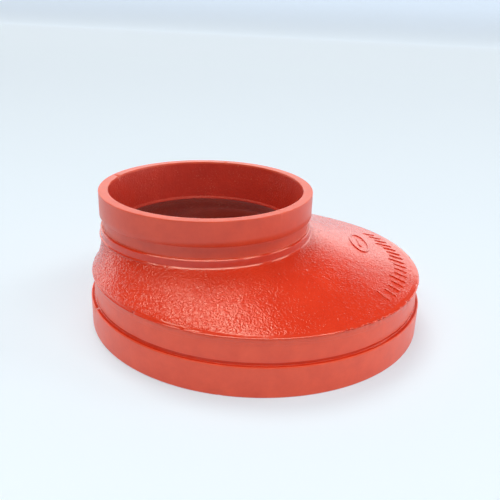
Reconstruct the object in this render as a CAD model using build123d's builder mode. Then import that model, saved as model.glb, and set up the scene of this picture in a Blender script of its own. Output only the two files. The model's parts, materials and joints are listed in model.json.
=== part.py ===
"""Grooved eccentric reducer: one hollow ductile-iron casting, in millimetres.

The origin is the centre of the large end's face, +Z runs up the large bore, and the small
end's axis is set off towards -X, so the whole fitting is symmetric about the XZ plane.
"""
import os

from build123d import *

os.makedirs("parts", exist_ok=True)

# Pipe sizes and the grooved-end seats that a coupling's keys grip.
large_pipe_radius = 219.1 / 2
large_land_length = 19.05
large_groove_depth = 2.34
small_pipe_radius = 141.3 / 2
small_land_length = 15.88
small_groove_width = 7.95
small_groove_depth = 2.11
edge_chamfer = 0.6

# Overall layout.
height = 83.2
axis_offset = 35.6

# The cast body, from its lower edge (the brim) up to the neck below the collar.
brim_height = 35.8
brim_radius = 108.0
neck_height = 53.8
neck_radius = 70.2
collar_radius = 71.3
collar_taper_height = 3.4
body_levels = (
    # share of the way from brim to neck, share of the body's rise
    (0.0, 0.0),
    (0.01, 0.04),
    (0.08, 0.12),
    (0.25, 0.25),
    (0.50, 0.455),
    (0.75, 0.69),
    (0.92, 0.87),
    (1.0, 1.0),
)
body_waist = 0.6

# The open flow path.
body_wall = 6.9
large_bore_radius = large_pipe_radius - body_wall
small_mouth_radius = small_pipe_radius - 6.15
ridge_radius = 60.0
ridge_height = 55.6

# Raised cast marks on the long slope.
mark_rise = 0.8
emblem_distance = 74.0
emblem_angle = 29.0
emblem_slant = 12.0
emblem_half_length = 17.0
emblem_half_width = 6.2
emblem_line = 1.3
bar_count = 16
bar_first_angle = -21.0
bar_last_angle = 45.0
bar_outer_radius = 101.0
bar_length = 9.5
long_bar_length = 12.0
bar_slant = 18.0
bar_width = 1.7

# Heights that follow from the sizes above.
small_land_base = height - small_land_length
collar_top = small_land_base - small_groove_width
large_root_radius = large_pipe_radius - large_groove_depth
small_root_radius = small_pipe_radius - small_groove_depth
cavity_inset = brim_radius - large_bore_radius


def body_height(rise_share):
    """Height of a body level above the large end's face."""
    return brim_height + rise_share * (neck_height - brim_height)


def body_inset(share):
    """How far the short side's hollow waist pulls a level in, and shifts it to the long side."""
    return body_waist * 4 * share * (1 - share)


def body_centre(share):
    """X of the body's centre at a share of the way from the brim to the neck."""
    return body_inset(share) - share * axis_offset


def body_radius(share):
    """Outer radius of the body at a share of the way from the brim to the neck."""
    return brim_radius + share * (neck_radius - brim_radius) - body_inset(share)


# Large end and small end: turned profiles, each revolved about its own axis.
with BuildPart() as large_end:
    with BuildSketch(Plane.XZ):
        with BuildLine():
            Polyline(
                (0, 0),
                (large_pipe_radius - edge_chamfer, 0),
                (large_pipe_radius, edge_chamfer),
                (large_pipe_radius, large_land_length - edge_chamfer / 2),
                (large_pipe_radius - edge_chamfer / 2, large_land_length),
                (large_root_radius, large_land_length),
                (large_root_radius, brim_height),
                (0, brim_height),
                close=True,
            )
        make_face()
    revolve(axis=Axis.Z)

with BuildPart() as small_end:
    with BuildSketch(Plane.XZ.move(Location((-axis_offset, 0, 0)))):
        with BuildLine():
            Polyline(
                (0, neck_height),
                (neck_radius, neck_height),
                (collar_radius, neck_height + collar_taper_height),
                (collar_radius, collar_top - edge_chamfer / 2),
                (collar_radius - edge_chamfer / 2, collar_top),
                (small_root_radius, collar_top),
                (small_root_radius, small_land_base),
                (small_pipe_radius - edge_chamfer / 2, small_land_base),
                (small_pipe_radius, small_land_base + edge_chamfer / 2),
                (small_pipe_radius, height - edge_chamfer),
                (small_pipe_radius - edge_chamfer, height),
                (0, height),
                close=True,
            )
        make_face()
    revolve(axis=Axis((-axis_offset, 0, 0), (0, 0, 1)))

# The eccentric body between the two ends, and the slightly larger one that caps the marks.
with BuildPart() as bell:
    for body_share, body_rise in body_levels:
        with BuildSketch(Plane.XY.offset(body_height(body_rise))):
            with Locations((body_centre(body_share), 0)):
                Circle(body_radius(body_share))
    loft()

with BuildPart() as mark_cap:
    for body_share, body_rise in body_levels:
        with BuildSketch(Plane.XY.offset(body_height(body_rise) + mark_rise)):
            with Locations((body_centre(body_share), 0)):
                Circle(body_radius(body_share))
    loft()

# The hollow: a straight large bore, a cavity that follows the body, and a tapered small bore.
with BuildPart() as hollow:
    with BuildSketch():
        Circle(large_bore_radius)
    extrude(amount=brim_height - body_wall)
    for body_share, body_rise in body_levels:
        with BuildSketch(Plane.XY.offset(body_height(body_rise) - body_wall)):
            with Locations((body_centre(body_share), 0)):
                Circle(body_radius(body_share) - cavity_inset)
    loft()
    with BuildSketch(Plane.XY.offset(neck_height - body_wall)):
        with Locations((-axis_offset, 0)):
            Circle(neck_radius - cavity_inset)
    with BuildSketch(Plane.XY.offset(ridge_height)):
        with Locations((-axis_offset, 0)):
            Circle(ridge_radius)
    loft()
    with BuildSketch(Plane.XY.offset(ridge_height)):
        with Locations((-axis_offset, 0)):
            Circle(ridge_radius)
    with BuildSketch(Plane.XY.offset(height)):
        with Locations((-axis_offset, 0)):
            Circle(small_mouth_radius)
    loft()

# Marks: an oval ring round a plain bar, and an arc of slanted plain bars along the shoulder.
with BuildPart() as marks:
    with BuildSketch(Plane.XY.offset(brim_height)):
        with PolarLocations(emblem_distance, 1, start_angle=emblem_angle):
            Ellipse(emblem_half_width, emblem_half_length, rotation=-emblem_slant)
            Ellipse(
                emblem_half_width - emblem_line,
                emblem_half_length - emblem_line,
                rotation=-emblem_slant,
                mode=Mode.SUBTRACT,
            )
            Rectangle(1.5 * emblem_line, emblem_half_length, rotation=-emblem_slant)
    with BuildSketch(Plane.XY.offset(brim_height)):
        bar_step = (bar_last_angle - bar_first_angle) / (bar_count - 1)
        for bar_index in range(bar_count):
            bar_angle = bar_first_angle + bar_index * bar_step
            bar_size = bar_length if bar_index % 4 else long_bar_length
            with PolarLocations(bar_outer_radius - bar_size / 2, 1, start_angle=bar_angle):
                Rectangle(bar_size, bar_width, rotation=-bar_slant)
    extrude(amount=neck_height - brim_height)
    add(mark_cap.part, mode=Mode.INTERSECT)

with BuildPart() as reducer_casting:
    add(large_end.part)
    add(bell.part)
    add(small_end.part)
    add(marks.part)
    add(hollow.part, mode=Mode.SUBTRACT)

reducer_casting.part.label = "reducer_casting"
export_step(reducer_casting.part, "parts/reducer_casting.step")
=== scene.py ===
"""Grooved eccentric reducer: the finished look of the painted casting, built around the CAD frame."""

import json
import math
import random

import bmesh
import bpy
import numpy as np
from mathutils import Matrix, Vector, noise


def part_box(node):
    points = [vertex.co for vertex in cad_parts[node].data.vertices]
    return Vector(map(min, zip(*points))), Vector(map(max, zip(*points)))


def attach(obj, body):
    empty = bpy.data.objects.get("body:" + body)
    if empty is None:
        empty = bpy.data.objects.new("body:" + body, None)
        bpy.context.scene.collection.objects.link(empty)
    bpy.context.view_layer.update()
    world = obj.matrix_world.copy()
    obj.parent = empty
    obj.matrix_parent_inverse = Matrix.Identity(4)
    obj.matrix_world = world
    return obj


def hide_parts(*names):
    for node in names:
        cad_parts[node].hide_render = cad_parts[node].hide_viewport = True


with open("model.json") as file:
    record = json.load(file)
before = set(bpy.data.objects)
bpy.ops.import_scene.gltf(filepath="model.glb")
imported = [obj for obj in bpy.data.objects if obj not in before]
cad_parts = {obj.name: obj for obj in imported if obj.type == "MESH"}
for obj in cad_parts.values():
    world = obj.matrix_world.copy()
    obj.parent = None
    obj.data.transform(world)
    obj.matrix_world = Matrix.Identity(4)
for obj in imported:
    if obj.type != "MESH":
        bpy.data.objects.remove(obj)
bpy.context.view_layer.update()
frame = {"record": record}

MM = 0.001
PAINT_GAP = 0.06 * MM  # the turned ends stop this far inside the nominal pipe sizes

# ---------------------------------------------------------------- sizes, from the frame
seats = {mount["name"]: mount for mount in frame["record"]["mounts"]}
large_seat = seats["large_end_groove_seat"]
small_seat = seats["small_end_groove_seat"]
low_corner, high_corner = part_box("reducer_casting")

BASE = low_corner.z
HEIGHT = high_corner.z - low_corner.z
LARGE_RADIUS = large_seat["dims"]["r_mm"] * MM - PAINT_GAP
LARGE_LAND = large_seat["dims"]["length_mm"] * MM
SMALL_RADIUS = small_seat["dims"]["r_mm"] * MM - PAINT_GAP
SMALL_LAND = small_seat["dims"]["length_mm"] * MM
SMALL_AXIS = small_seat["pos_m"][0]

LARGE_GROOVE_DEPTH = 2.34 * MM
SMALL_GROOVE_DEPTH = 2.11 * MM
SMALL_GROOVE_WIDTH = 7.95 * MM
SMALL_WALL = 6.15 * MM

# ---------------------------------------------------------------- sizes of the casting
LARGE_ROOT = LARGE_RADIUS - LARGE_GROOVE_DEPTH
BRIM_HEIGHT = 35.8 * MM
BRIM_RADIUS = 108.0 * MM
NECK_HEIGHT = 54.6 * MM
NECK_RADIUS = 70.2 * MM
SMALL_LAND_BASE = HEIGHT - SMALL_LAND
COLLAR_TOP = SMALL_LAND_BASE - SMALL_GROOVE_WIDTH
SMALL_ROOT = SMALL_RADIUS - SMALL_GROOVE_DEPTH
MOUTH_RADIUS = SMALL_RADIUS - SMALL_WALL
RIDGE_RADIUS = 60.0 * MM
RIDGE_HEIGHT = 55.6 * MM
WALL = 6.9 * MM
LARGE_BORE = LARGE_RADIUS - WALL
CAVITY_INSET = BRIM_RADIUS - LARGE_BORE

EMBLEM_DISTANCE = 74.0 * MM
EMBLEM_ANGLE = 29.0
EMBLEM_TILT = -12
EMBLEM_RISE = 0.65 * MM
RING_HALF_WIDTH = 6.0 * MM
RING_HALF_LENGTH = 16.6 * MM
RING_BAR_LENGTH = 17 * MM
BAR_COUNT = 16
BAR_FIRST_ANGLE = -21
BAR_LAST_ANGLE = 45
BAR_OUTER_RADIUS = 101 * MM
BAR_LENGTH = 9.5 * MM
LONG_BAR_LENGTH = 12.0 * MM
BAR_SLANT = -18
BAR_WIDTH = 1.8 * MM
BAR_RISE = 0.5 * MM

SEGMENTS = 624
BODY_RINGS = 56
CAVITY_RINGS = 12
BODY_FLAWS = 170
BORE_FLAWS = 70

# zones of the profile, which say how a ring is finished
TURNED, GLOSS, EDGE, CAST, BORE, CHAMBER = range(6)
SLOT_OF_ZONE = np.array([0, 1, 1, 2, 3, 4])


def body_rise(share, turn):
    """Height of the body's outside, as a share of the rise from brim to neck.

    The long side is slightly hollow, the flanks are a cone with a rounded shoulder and a fillet
    under the neck, and the short side climbs almost straight up above a small flare.
    """
    long_side = 0.02 * (1 - np.exp(-share / 0.01)) + 0.68 * share + 0.29 * share**2.4
    flank = 0.08 * (1 - np.exp(-share / 0.04)) + 0.85 * share + 0.07 * np.exp((share - 1) / 0.05)
    short_side = 0.02 * (1 - np.exp(-share / 0.02)) + 0.62 * share + 0.36 * share**2
    to_long = np.clip(0.5 + 0.9 * np.cos(turn), 0, 1) ** 1.5
    to_short = np.clip(-1.2 - 2.2 * np.cos(turn), 0, 1)
    rise = flank + to_short * (short_side - flank)
    return rise + to_long * (long_side - rise)


def body_height(share, turn):
    return BRIM_HEIGHT + (NECK_HEIGHT - BRIM_HEIGHT) * body_rise(share, turn)


def body_inset(share):
    """The waist on the short side pulls each level in and shifts it to the long side."""
    return 3.4 * MM * share * (1 - share)


def body_axis(share):
    return share * SMALL_AXIS + body_inset(share)


def body_radius(share):
    return BRIM_RADIUS + (NECK_RADIUS - BRIM_RADIUS) * share - body_inset(share)


# ---------------------------------------------------------------- profile
def rounded_path(corners, hold=0.3 * MM, spacing=6.0 * MM):
    """Points along a turned profile: (radius, height, rounding) corners, with held, rounded corners."""
    points = []
    last = len(corners) - 1
    for index, (radius, height, rounding) in enumerate(corners):
        here = np.array((radius, height))
        if index in (0, last) or rounding == 0:
            points.append(here)
            continue
        before = np.array(corners[index - 1][:2]) - here
        after = np.array(corners[index + 1][:2]) - here
        back = before / np.linalg.norm(before)
        ahead = after / np.linalg.norm(after)
        for reach in (rounding + hold, rounding):
            if reach < np.linalg.norm(before) * 0.48:
                points.append(here + back * reach)
        start, end = here + back * rounding, here + ahead * rounding
        for step in (0.33, 0.67):
            points.append((1 - step) ** 2 * start + 2 * step * (1 - step) * here + step**2 * end)
        for reach in (rounding, rounding + hold):
            if reach < np.linalg.norm(after) * 0.48:
                points.append(here + ahead * reach)
    spaced = [points[0]]
    for point in points[1:]:
        gap = np.linalg.norm(point - spaced[-1])
        pieces = max(1, math.ceil(gap / spacing))
        start = spaced[-1]
        for piece in range(1, pieces + 1):
            spaced.append(start + (point - start) * piece / pieces)
    return spaced


def build_profile():
    """The closed profile as arrays: axis x, radius, height, zone and body share of each ring.

    A share of -1 means that the ring is flat; other rings take their height from the body.
    """
    rings = []

    def add(points, axis, zone):
        rings.extend((axis, radius, height, zone, -1) for radius, height in points)

    add(rounded_path([
        (LARGE_BORE, BRIM_HEIGHT - WALL - 0.5 * MM, 0),
        (LARGE_BORE, 0.0, 0.7 * MM),
        (LARGE_RADIUS, 0.0, 0.8 * MM),
        (LARGE_RADIUS, LARGE_LAND - 0.45 * MM, 0.15 * MM),
        (LARGE_RADIUS - 0.45 * MM, LARGE_LAND, 0.1 * MM),
        (LARGE_RADIUS - 0.7 * MM, LARGE_LAND, 0),
    ], hold=0.12 * MM), 0.0, TURNED)
    add(rounded_path([
        (LARGE_RADIUS - 0.85 * MM, LARGE_LAND, 0),
        (LARGE_ROOT - 0.1 * MM, LARGE_LAND, 0.5 * MM),
        (LARGE_ROOT, LARGE_LAND + 1.6 * MM, 0),
    ]), 0.0, GLOSS)
    add(rounded_path([
        (LARGE_ROOT, LARGE_LAND + 1.8 * MM, 0),
        (LARGE_ROOT, BRIM_HEIGHT - 4.4 * MM, 0.2 * MM),
        (LARGE_ROOT + 0.18 * MM, BRIM_HEIGHT - 4.1 * MM, 0.2 * MM),
        (LARGE_ROOT + 0.18 * MM, BRIM_HEIGHT - 0.4 * MM, 0),
    ]), 0.0, TURNED)
    add([(LARGE_ROOT + 0.3 * MM, BRIM_HEIGHT - 0.35 * MM),
         (BRIM_RADIUS - 0.1 * MM, BRIM_HEIGHT - 0.35 * MM),
         (BRIM_RADIUS + 0.1 * MM, BRIM_HEIGHT - 0.2 * MM),
         (BRIM_RADIUS + 0.1 * MM, BRIM_HEIGHT - 0.06 * MM),
         (BRIM_RADIUS + 0.05 * MM, BRIM_HEIGHT + 0.02 * MM),
         (BRIM_RADIUS - 0.04 * MM, BRIM_HEIGHT + 0.1 * MM),
         (BRIM_RADIUS - 0.36 * MM, BRIM_HEIGHT + 0.4 * MM),
         (BRIM_RADIUS - 0.5 * MM, BRIM_HEIGHT + 0.48 * MM)], 0.0, EDGE)
    for share in (0.020, 0.026, 0.034, 0.044):
        rings.append((body_axis(share), body_radius(share), 0, EDGE, share))
    steps = np.linspace(0, 1, BODY_RINGS)
    shares = 0.054 + 0.913 * (0.6 * steps + 0.4 * (0.5 - 0.5 * np.cos(math.pi * steps)))
    for share in shares:
        rings.append((body_axis(share), body_radius(share), 0, CAST, share))
    add([(NECK_RADIUS + 1.0 * MM, NECK_HEIGHT - 0.83 * MM),
         (NECK_RADIUS + 0.9 * MM, NECK_HEIGHT - 0.73 * MM),
         (NECK_RADIUS + 0.3 * MM, NECK_HEIGHT - 0.15 * MM),
         (NECK_RADIUS + 0.2 * MM, NECK_HEIGHT - 0.05 * MM),
         (NECK_RADIUS + 0.14 * MM, NECK_HEIGHT + 0.1 * MM)], SMALL_AXIS, EDGE)
    add(rounded_path([
        (NECK_RADIUS + 0.13 * MM, NECK_HEIGHT + 0.3 * MM, 0),
        (NECK_RADIUS + 0.15 * MM, COLLAR_TOP - 2.0 * MM, 0.3 * MM),
        (NECK_RADIUS + 0.1 * MM, COLLAR_TOP - 0.62 * MM, 0.08 * MM),
        (NECK_RADIUS - 0.5 * MM, COLLAR_TOP - 0.04 * MM, 0.08 * MM),
        (NECK_RADIUS - 0.65 * MM, COLLAR_TOP, 0),
    ], hold=0.06 * MM, spacing=4.0 * MM), SMALL_AXIS, GLOSS)
    add(rounded_path([
        (NECK_RADIUS - 0.8 * MM, COLLAR_TOP, 0),
        (SMALL_ROOT, COLLAR_TOP, 0.45 * MM),
        (SMALL_ROOT, SMALL_LAND_BASE, 0.3 * MM),
        (SMALL_RADIUS - 0.5 * MM, SMALL_LAND_BASE, 0),
    ], spacing=4.0 * MM), SMALL_AXIS, TURNED)
    add(rounded_path([
        (SMALL_RADIUS - 0.25 * MM, SMALL_LAND_BASE + 0.05 * MM, 0),
        (SMALL_RADIUS, SMALL_LAND_BASE + 0.35 * MM, 0),
        (SMALL_RADIUS, HEIGHT, 0.5 * MM),
        (MOUTH_RADIUS, HEIGHT, 0.3 * MM),
        (MOUTH_RADIUS - 0.2 * MM, HEIGHT - 1.2 * MM, 0),
    ], spacing=4.0 * MM), SMALL_AXIS, TURNED)
    add(rounded_path([
        (MOUTH_RADIUS - 0.3 * MM, HEIGHT - 2.0 * MM, 0),
        (RIDGE_RADIUS + 1.2 * MM, RIDGE_HEIGHT + 1.9 * MM, 0.3 * MM),
        (RIDGE_RADIUS, RIDGE_HEIGHT + 1.0 * MM, 0.35 * MM),
        (RIDGE_RADIUS, RIDGE_HEIGHT + 0.2 * MM, 0),
    ], spacing=2.4 * MM), SMALL_AXIS, BORE)
    add([(RIDGE_RADIUS + 0.2 * MM, RIDGE_HEIGHT - 0.1 * MM),
         (RIDGE_RADIUS + 1.2 * MM, RIDGE_HEIGHT - 0.8 * MM),
         (RIDGE_RADIUS + 2.8 * MM, RIDGE_HEIGHT - 2.2 * MM),
         (NECK_RADIUS - CAVITY_INSET - 0.3 * MM, NECK_HEIGHT - WALL + 2.0 * MM)], SMALL_AXIS, CHAMBER)
    for share in np.linspace(1, 0, CAVITY_RINGS):
        rings.append((body_axis(share), body_radius(share) - CAVITY_INSET, -WALL, CHAMBER, share))
    return (np.array(column) for column in zip(*rings))


def noise_field(points, size, seed):
    """Smooth noise from -1 to 1 at each point, with features of about the given size."""
    offset = Vector((seed * 3.7, seed * 1.3, seed * 7.1))
    return np.array([noise.noise(Vector(point) / size + offset) for point in points])


def on_circle(axis, radius, angle, height):
    """A point at an angle in degrees on a circle about the large (0) or small axis."""
    turn = math.radians(angle)
    return np.array((axis + radius * math.cos(turn), radius * math.sin(turn), height + BASE))


def small_flaws():
    """Chips, droplets and sand nodules: centre, reach and how far each stands out."""
    flaws = [
        (on_circle(SMALL_AXIS, MOUTH_RADIUS + 0.4 * MM, 179, HEIGHT), 1.5 * MM, -0.9 * MM),
        (on_circle(SMALL_AXIS, MOUTH_RADIUS, 97, HEIGHT), 1.0 * MM, -0.35 * MM),
        (on_circle(SMALL_AXIS, SMALL_RADIUS, -31.8, HEIGHT - 1.4 * MM), 0.9 * MM, 0.4 * MM),
        (on_circle(SMALL_AXIS, RIDGE_RADIUS, 119, RIDGE_HEIGHT), 1.0 * MM, -0.7 * MM),
        (on_circle(0, LARGE_RADIUS - 0.5 * MM, -139.4, LARGE_LAND), 1.3 * MM, -0.7 * MM),
        (on_circle(0, LARGE_RADIUS, -84, 0), 0.9 * MM, -0.2 * MM),
    ]
    dice = random.Random(8)
    brim_chips = (-47, -45.2, -42.9, -40.3, -38.4, -34.5, -32.2, -28.9, -22,
                  -17, -96, -114, -3, 21, 63, 140, 201)
    for angle in brim_chips:
        place = on_circle(0, BRIM_RADIUS, angle, BRIM_HEIGHT + 0.1 * MM)
        reach = dice.uniform(0.7, 1.3) * MM
        flaws.append((place, reach, -dice.uniform(0.4, 0.9) * MM))
    for _ in range(BODY_FLAWS):
        share = dice.uniform(0.03, 0.95)
        angle = dice.uniform(-180, 180)
        height = body_height(share, math.radians(angle))
        place = on_circle(body_axis(share), body_radius(share), angle, height)
        flaws.append((place, dice.uniform(0.7, 1.3) * MM, dice.choice((-0.12, 0.16, 0.22)) * MM))
    for _ in range(BORE_FLAWS):
        height = dice.uniform(RIDGE_HEIGHT + 2 * MM, HEIGHT - 4 * MM)
        climb = (height - RIDGE_HEIGHT) / (HEIGHT - RIDGE_HEIGHT)
        radius = RIDGE_RADIUS + climb * (MOUTH_RADIUS - RIDGE_RADIUS)
        place = on_circle(SMALL_AXIS, radius, dice.uniform(-180, 180), height)
        flaws.append((place, dice.uniform(0.7, 1.2) * MM, dice.choice((-0.15, 0.2)) * MM))
    return flaws


def surface_height(x, y):
    """Height of the body's outside over a point of the floor plan."""
    low, high = 0.0, 1.0
    for _ in range(24):
        share = (low + high) / 2
        if math.hypot(x - body_axis(share), y) < body_radius(share):
            low = share
        else:
            high = share
    return body_height(share, math.atan2(y, x - body_axis(share)))


def raised_stroke(path, width, rise, closed):
    """Vertices and quads of a rounded raised line that follows the body along a plan path."""
    section = [(-0.62, -0.55), (-0.53, 0.1), (-0.46, 0.7), (-0.36, 0.95), (0.0, 1.0),
               (0.36, 0.95), (0.46, 0.7), (0.53, 0.1), (0.62, -0.55)]
    count = len(path)
    verts, quads = [], []
    for index, point in enumerate(path):
        before = path[index - 1] if closed or index else point
        after = path[(index + 1) % count] if closed or index < count - 1 else point
        heading = (after - before) / np.linalg.norm(after - before)
        across = np.array((-heading[1], heading[0]))
        from_end = 9 if closed else min(index, count - 1 - index)
        narrow, low = {0: (0.55, -0.6), 1: (0.8, 0.5), 2: (0.95, 0.9)}.get(from_end, (1.0, 1.0))
        for aside, up in section:
            x, y = point + across * aside * width * narrow
            # the last section of a bar sinks, except for its outer edges, which lift
            lift = rise * (up if up < 0 or low > 0 else 1) * (low if up > 0 or low < 0 else 1)
            verts.append((x, y, BASE + surface_height(x, y) + lift))
    size = len(section)
    for index in range(count if closed else count - 1):
        here, ahead = index * size, (index + 1) % count * size
        quads.extend((here + k, here + k + 1, ahead + k + 1, ahead + k) for k in range(size - 1))
    return verts, quads


def plan_point(distance, angle, outward=0.0, sideways=0.0):
    """A plan position from polar distance and angle in degrees, plus local offsets."""
    turn = math.radians(angle)
    ahead = np.array((math.cos(turn), math.sin(turn)))
    side = np.array((-math.sin(turn), math.cos(turn)))
    return ahead * (distance + outward) + side * sideways


def build_marks():
    """The oval ring with its plain bar, and the arc of plain bars, all raised from the slope."""
    ends = np.array([0, 0.035, 0.09, 0.2, 0.35, 0.5, 0.65, 0.8, 0.91, 0.965, 1])
    tilt = math.radians(EMBLEM_TILT)
    outward = np.array((math.cos(tilt), math.sin(tilt)))
    sideways = np.array((-math.sin(tilt), math.cos(tilt)))
    ring = [outward * RING_HALF_WIDTH * math.cos(t) + sideways * RING_HALF_LENGTH * math.sin(t)
            for t in np.linspace(0, 2 * math.pi, 84, endpoint=False)]
    ring_bar = [sideways * (share - 0.5) * RING_BAR_LENGTH for share in ends]
    strokes = []
    for path, width, closed in ((ring, 1.5 * MM, True), (ring_bar, 2.2 * MM, False)):
        route = [plan_point(EMBLEM_DISTANCE, EMBLEM_ANGLE, *spot) for spot in path]
        strokes.append(raised_stroke(route, width, EMBLEM_RISE, closed))
    slant = math.radians(BAR_SLANT)
    for index, angle in enumerate(np.linspace(BAR_FIRST_ANGLE, BAR_LAST_ANGLE, BAR_COUNT)):
        length = BAR_LENGTH if index % 4 else LONG_BAR_LENGTH
        along = (ends - 0.5) * length
        middle = BAR_OUTER_RADIUS - length / 2
        bar = [plan_point(middle, angle, reach * math.cos(slant), reach * math.sin(slant))
               for reach in along]
        strokes.append(raised_stroke(bar, BAR_WIDTH, BAR_RISE, False))
    verts, quads = [], []
    for points, faces in strokes:
        quads.extend(tuple(index + len(verts) for index in face) for face in faces)
        verts.extend(points)
    verts = np.array(verts)
    verts[:, 2] += 0.07 * MM * noise_field(verts, 2.2 * MM, 5)
    return verts, quads


def build_casting():
    axis, radius, height, zone, share = build_profile()
    rings = len(axis)
    turn = np.linspace(0, 2 * math.pi, SEGMENTS, endpoint=False)
    on_body = body_height(np.maximum(share, 0)[:, None], turn)
    grid = np.stack([
        axis[:, None] + radius[:, None] * np.cos(turn),
        radius[:, None] * np.sin(turn),
        BASE + height[:, None] + np.where(share[:, None] < 0, 0, on_body),
    ], axis=-1)
    around = np.roll(grid, -1, axis=1) - np.roll(grid, 1, axis=1)
    along = np.roll(grid, -1, axis=0) - np.roll(grid, 1, axis=0)
    outward = np.cross(around, along)
    outward /= np.linalg.norm(outward, axis=2, keepdims=True)

    points = grid.reshape(-1, 3)
    wave = noise_field(points, 34 * MM, 1)
    lumps = noise_field(points, 6.5 * MM, 2)
    grain = noise_field(points, 3.0 * MM, 3)
    rough = np.array([{
        TURNED: (0.015, 0.0, 0.004),
        GLOSS: (0.04, 0.03, 0.02),
        EDGE: (0.05, 0.05, 0.03),
        CAST: (0.18, 0.04, 0.03),
        BORE: (0.12, 0.08, 0.05),
        CHAMBER: (0.15, 0.10, 0.05),
    }[name] for name in np.repeat(zone, SEGMENTS)]) * MM
    shift = (rough * np.stack([wave, lumps, grain], axis=1)).sum(axis=1)
    for place, reach, rise in small_flaws():
        gap = np.linalg.norm(points - place, axis=1)
        near = gap < 2.5 * reach
        shift[near] += rise * np.exp(-((gap[near] / reach) ** 2))
    points = points + outward.reshape(-1, 3) * shift[:, None]
    points[:, 2] = np.clip(points[:, 2], BASE, BASE + HEIGHT)

    index = np.arange(rings * SEGMENTS).reshape(rings, SEGMENTS)
    above = np.roll(index, -1, axis=0)
    quads = np.stack([index, np.roll(index, -1, axis=1), np.roll(above, -1, axis=1), above], axis=-1)
    next_zone = np.roll(zone, -1)
    slots = SLOT_OF_ZONE[np.maximum(zone, next_zone)]
    mark_verts, mark_quads = build_marks()
    mark_quads = [tuple(corner + len(points) for corner in face) for face in mark_quads]

    mesh = bpy.data.meshes.new("reducer")
    mesh.from_pydata(points.tolist() + mark_verts.tolist(), [], quads.reshape(-1, 4).tolist() + mark_quads)
    slots = np.concatenate([np.repeat(slots, SEGMENTS), np.full(len(mark_quads), 2)])
    mesh.polygons.foreach_set("material_index", slots.astype(np.int32))
    mesh.polygons.foreach_set("use_smooth", np.ones(len(mesh.polygons), dtype=bool))
    mesh.update()
    piece = bpy.data.objects.new("reducer", mesh)
    bpy.context.scene.collection.objects.link(piece)
    return piece


# ---------------------------------------------------------------- materials
class Nodes:
    """A small helper that adds and links shader nodes in one material."""

    def __init__(self, name):
        self.material = bpy.data.materials.new(name)
        self.material.use_nodes = True
        self.tree = self.material.node_tree
        self.shader = self.tree.nodes["Principled BSDF"]

    def add(self, kind, **settings):
        node = self.tree.nodes.new(kind)
        for key, value in settings.items():
            setattr(node, key, value)
        return node

    def link(self, source, target):
        self.tree.links.new(source, target)

    def position(self):
        """Object coordinates in millimetres."""
        where = self.add("ShaderNodeTexCoord")
        scale = self.add("ShaderNodeVectorMath", operation="SCALE")
        scale.inputs["Scale"].default_value = 1 / MM
        self.link(where.outputs["Object"], scale.inputs[0])
        return scale.outputs[0]

    def noise(self, where, size, detail=2.0, roughness=0.5, distortion=0.0):
        node = self.add("ShaderNodeTexNoise")
        node.inputs["Scale"].default_value = 1 / size
        node.inputs["Detail"].default_value = detail
        node.inputs["Roughness"].default_value = roughness
        node.inputs["Distortion"].default_value = distortion
        self.link(where, node.inputs["Vector"])
        return node.outputs["Fac"]

    def ramp(self, value, stops):
        """Colour ramp through (position, (r, g, b)) stops."""
        node = self.add("ShaderNodeValToRGB")
        elements = node.color_ramp.elements
        while len(elements) < len(stops):
            elements.new(0.5)
        for element, (place, colour) in zip(elements, stops):
            element.position = place
            element.color = (*colour, 1)
        self.link(value, node.inputs["Fac"])
        return node.outputs["Color"]

    def remap(self, value, start, end, low, high):
        """Map start..end to low..high."""
        node = self.add("ShaderNodeMapRange")
        for name, number in (("From Min", start), ("From Max", end), ("To Min", low), ("To Max", high)):
            node.inputs[name].default_value = number
        self.link(value, node.inputs["Value"])
        return node.outputs["Result"]

    def span(self, value, low, high):
        """Map 0..1 to low..high."""
        return self.remap(value, 0, 1, low, high)

    def product(self, first, second):
        node = self.add("ShaderNodeMath", operation="MULTIPLY")
        self.link(first, node.inputs[0])
        self.link(second, node.inputs[1])
        return node.outputs[0]

    def bump(self, height, distance, strength=1.0, under=None):
        node = self.add("ShaderNodeBump")
        node.inputs["Distance"].default_value = distance
        node.inputs["Strength"].default_value = strength
        self.link(height, node.inputs["Height"])
        if under:
            self.link(under, node.inputs["Normal"])
        return node.outputs["Normal"]


def cast_enamel():
    """Glossy enamel over a sand-cast skin that is pebbled on the near side and smoother beyond."""
    mat = Nodes("cast_enamel")
    where = mat.position()
    side = mat.add("ShaderNodeSeparateXYZ")
    mat.link(where, side.inputs[0])
    wander = mat.add("ShaderNodeMath", operation="MULTIPLY_ADD")
    mat.link(mat.noise(where, 14, 2), wander.inputs[0])
    wander.inputs[1].default_value = 40
    mat.link(side.outputs["X"], wander.inputs[2])
    fade = mat.remap(wander.outputs[0], 16, 60, 1.0, 0.42)
    grain = mat.product(mat.noise(where, 1.4, 1.5, 0.5, 0.5), fade)
    pebble = mat.bump(grain, 0.60 * MM)
    fine = mat.bump(mat.noise(where, 0.7, 1), 0.03 * MM, under=pebble)
    mat.link(fine, mat.shader.inputs["Normal"])
    tone = mat.noise(where, 16, 4, 0.6)
    mat.link(mat.ramp(tone, [(0.3, (0.66, 0.035, 0.011)), (0.7, (0.72, 0.045, 0.016))]),
             mat.shader.inputs["Base Color"])
    mat.link(mat.span(mat.noise(where, 5, 3), 0.10, 0.18), mat.shader.inputs["Roughness"])
    return mat.material


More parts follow.
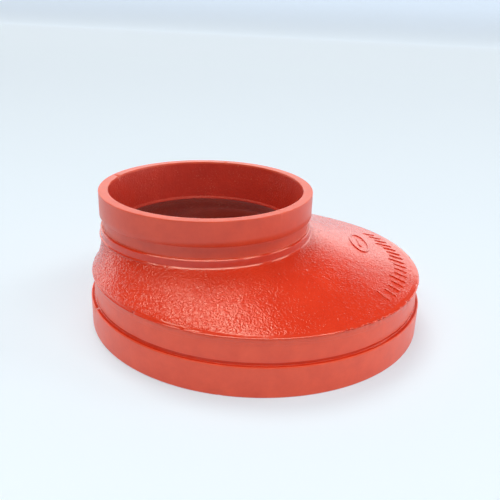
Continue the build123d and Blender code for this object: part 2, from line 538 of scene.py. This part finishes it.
def edge_enamel():
    """The same glossy enamel where it runs smooth over edges, the collar and the ledges."""
    mat = Nodes("edge_enamel")
    where = mat.position()
    ripple = mat.bump(mat.noise(where, 3.0, 1.5), 0.05 * MM)
    mat.link(ripple, mat.shader.inputs["Normal"])
    tone = mat.noise(where, 9, 4, 0.6)
    mat.link(mat.ramp(tone, [(0.3, (0.66, 0.038, 0.013)), (0.7, (0.73, 0.050, 0.019))]),
             mat.shader.inputs["Base Color"])
    mat.link(mat.span(mat.noise(where, 5, 3), 0.10, 0.20), mat.shader.inputs["Roughness"])
    return mat.material


def turned_enamel():
    """Thinner satin enamel over the lathe-turned ends, with painted light: the colour is lighter towards
    the bottom, for light bounced up from the floor.
    """
    mat = Nodes("turned_enamel")
    where = mat.position()
    stretched = mat.add("ShaderNodeVectorMath", operation="MULTIPLY")
    stretched.inputs[1].default_value = (0.03, 0.03, 2.2)
    mat.link(where, stretched.inputs[0])
    lathe = mat.bump(mat.noise(stretched.outputs[0], 1.0, 3, 0.6), 0.03 * MM)
    mottle = mat.bump(mat.noise(where, 1.4, 3, 0.6), 0.06 * MM, under=lathe)
    mat.link(mottle, mat.shader.inputs["Normal"])
    tone = mat.noise(where, 12, 5, 0.66)
    # painted light: the base colour is scaled up towards the bottom, standing in for floor bounce on the
    # lower end
    level = mat.add("ShaderNodeSeparateXYZ")
    mat.link(where, level.inputs[0])
    painted_floor_bounce = mat.remap(level.outputs["Z"], 34, 50, 1.2, 1.0)
    shade = mat.add("ShaderNodeVectorMath", operation="SCALE")
    mat.link(mat.ramp(tone, [(0.3, (0.66, 0.058, 0.020)), (0.7, (0.75, 0.078, 0.028))]), shade.inputs[0])
    mat.link(painted_floor_bounce, shade.inputs["Scale"])
    mat.link(shade.outputs[0], mat.shader.inputs["Base Color"])
    mat.link(mat.span(mat.noise(where, 6, 3), 0.28, 0.40), mat.shader.inputs["Roughness"])
    mat.shader.inputs["Specular IOR Level"].default_value = 0.6
    return mat.material


def bore_enamel(name, shade, shine):
    """Enamel on the rough cast inside, with clusters of pale specks; its base colour is darker than the
    outside, painted shade for the hollow.
    """
    mat = Nodes(name)
    where = mat.position()
    grit = mat.bump(mat.noise(where, 1.4, 3, 0.65), 0.42 * MM)
    mat.link(grit, mat.shader.inputs["Normal"])
    tone = mat.noise(where, 16, 4, 0.6)
    # painted shade: these inside colours are darker than the outside enamel, for the shade inside the bore
    stops = [(0.3, (0.52 * shade, 0.024, 0.010)), (0.7, (0.60 * shade, 0.033, 0.013))]
    cluster = mat.remap(mat.noise(where, 11, 2), 0.42, 0.66, 0.0, 1.0)
    speck = mat.product(mat.remap(mat.noise(where, 0.85, 1), 0.64, 0.72, 0.0, 0.55), cluster)
    blend = mat.add("ShaderNodeMix", data_type="RGBA")
    mat.link(speck, blend.inputs["Factor"])
    mat.link(mat.ramp(tone, stops), blend.inputs["A"])
    blend.inputs["B"].default_value = (0.85 * shade, 0.30 * shade, 0.20 * shade, 1)
    mat.link(blend.outputs["Result"], mat.shader.inputs["Base Color"])
    mat.link(mat.span(mat.noise(where, 5, 3), 0.30, 0.46), mat.shader.inputs["Roughness"])
    mat.shader.inputs["Specular IOR Level"].default_value = shine
    return mat.material


# ---------------------------------------------------------------- build
casting = build_casting()
for finish in (
    turned_enamel(),
    edge_enamel(),
    cast_enamel(),
    bore_enamel("bore_enamel", 1.0, 0.5),
    # painted shade: the cavity below the ridge gets a still darker copy of the bore enamel, for the shade
    # inside the casting
    bore_enamel("chamber_enamel_painted_shade", 0.55, 0.15),
):
    casting.data.materials.append(finish)
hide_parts("reducer_casting")
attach(casting, "root")


# ---------------------------------------------------------------- floor, lights, camera
CAMERA_AZIMUTH = math.radians(15.0)
WARM_WHITE = (1.0, 0.92, 0.74)


def build_sweep():
    """A pale studio sweep: floor that curves up into a wall behind."""
    wide, front, back, bend, top = 3.0, -2.5, 2.7, 0.17, 0.2
    outline = [(front, 0.0), (back, 0.0)]
    for step in range(1, 17):
        angle = step / 16 * math.pi / 2
        outline.append((back + bend * math.sin(angle), bend * (1 - math.cos(angle))))
    outline.append((back + bend, top))
    mesh = bpy.data.meshes.new("studio_sweep")
    work = bmesh.new()
    rows = [[work.verts.new((side, y, z + BASE)) for side in (-wide, wide)] for y, z in outline]
    for first, second in zip(rows, rows[1:]):
        work.faces.new((first[0], first[1], second[1], second[0])).smooth = True
    work.to_mesh(mesh)
    work.free()
    sweep = bpy.data.objects.new("studio_sweep", mesh)
    bpy.context.scene.collection.objects.link(sweep)
    mat = Nodes("studio_paper")
    mat.shader.inputs["Base Color"].default_value = (0.47, 0.57, 0.74, 1)
    mat.shader.inputs["Roughness"].default_value = 0.9
    mat.shader.inputs["Specular IOR Level"].default_value = 0.1
    mat.shader.inputs["Emission Color"].default_value = (0.88, 0.96, 1.0, 1)
    split = mat.add("ShaderNodeSeparateXYZ")
    mat.link(mat.position(), split.inputs[0])
    mat.link(mat.remap(split.outputs["Y"], 300, 2800, 0.36, 0.52), mat.shader.inputs["Emission Strength"])
    mesh.materials.append(mat.material)
    return sweep


def add_bank(name, aside, ahead, size, watts):
    """A level overhead light, placed aside from and ahead of the part as the camera sees it."""
    data = bpy.data.lights.new(name, "AREA")
    data.shape = "RECTANGLE"
    data.size, data.size_y = size
    data.energy = watts
    data.color = WARM_WHITE
    light = bpy.data.objects.new(name, data)
    light.rotation_euler = (0, 0, CAMERA_AZIMUTH)
    light.location = light.rotation_euler.to_matrix() @ Vector((aside, -ahead, 1.5 + BASE))
    bpy.context.scene.collection.objects.link(light)


def add_camera():
    distance, eye_height = 402.6 * MM, 205.3 * MM
    turn_right, look_down, roll = (math.radians(angle) for angle in (-0.585, 22.04, 1.82))
    level = Vector((-math.sin(CAMERA_AZIMUTH), math.cos(CAMERA_AZIMUTH), 0))
    side = Vector((math.cos(CAMERA_AZIMUTH), math.sin(CAMERA_AZIMUTH), 0))
    heading = math.cos(turn_right) * level + math.sin(turn_right) * side
    right = heading.cross(Vector((0, 0, 1))).normalized()
    forward = math.cos(look_down) * heading - math.sin(look_down) * Vector((0, 0, 1))
    up = right.cross(forward)
    rolled_right = math.cos(roll) * right + math.sin(roll) * up
    rolled_up = math.cos(roll) * up - math.sin(roll) * right
    data = bpy.data.cameras.new("camera")
    data.sensor_width = 36.0
    data.lens = 643.3 / 500 * data.sensor_width
    data.clip_start = 0.01
    camera = bpy.data.objects.new("camera", data)
    turned = Matrix((rolled_right, rolled_up, -forward)).transposed()
    eye = -level * distance + Vector((0, 0, eye_height + BASE))
    camera.matrix_world = Matrix.Translation(eye) @ turned.to_4x4()
    bpy.context.scene.collection.objects.link(camera)
    bpy.context.scene.camera = camera


def add_softbox(name, direction, watts, spread):
    """An even, soft light from a direction, like a large distant softbox."""
    data = bpy.data.lights.new(name, "SUN")
    data.energy = watts
    data.color = WARM_WHITE
    data.angle = math.radians(spread)
    light = bpy.data.objects.new(name, data)
    light.rotation_euler = Vector(direction).to_track_quat("Z", "Y").to_euler()
    bpy.context.scene.collection.objects.link(light)


def add_surroundings():
    """White walls near the horizon behind the part, with a dim ceiling and front."""
    world = bpy.data.worlds.new("studio_world")
    world.use_nodes = True
    tree = world.node_tree
    where = tree.nodes.new("ShaderNodeTexCoord")
    split = tree.nodes.new("ShaderNodeSeparateXYZ")
    tree.links.new(where.outputs["Generated"], split.inputs[0])

    def fade(value, start, end, low, high):
        node = tree.nodes.new("ShaderNodeMapRange")
        node.interpolation_type = "SMOOTHSTEP"
        for name, number in (("From Min", start), ("From Max", end), ("To Min", low), ("To Max", high)):
            node.inputs[name].default_value = number
        tree.links.new(value, node.inputs["Value"])
        return node.outputs["Result"]

    def combine(operation, first, second):
        node = tree.nodes.new("ShaderNodeMath")
        node.operation = operation
        tree.links.new(first, node.inputs[0])
        tree.links.new(second, node.inputs[1])
        return node.outputs[0]

    glow = combine("MULTIPLY", fade(split.outputs["Z"], 0.31, 0.42, 1.7, 0.07),
                   fade(split.outputs["Y"], -0.6, 0.3, 0.35, 1.3))
    background = tree.nodes["Background"]
    background.inputs["Color"].default_value = (1.0, 0.98, 0.95, 1)
    tree.links.new(glow, background.inputs["Strength"])
    bpy.context.scene.world = world


build_sweep()
add_softbox("overhead_softbox", (-0.26, 0.32, 0.91), 1.25, 27)
add_softbox("right_softbox", (0.66, 0.40, 0.63), 0.32, 17)
add_bank("front_bank", 0.0, 0.60, (1.6, 0.24), 12.0)
add_bank("left_bank", -0.97, 0.33, (0.5, 0.3), 3.0)
add_bank("right_bank", 0.97, 0.33, (0.5, 0.3), 4.0)
add_surroundings()
bpy.context.scene.view_settings.view_transform = "Standard"

add_camera()
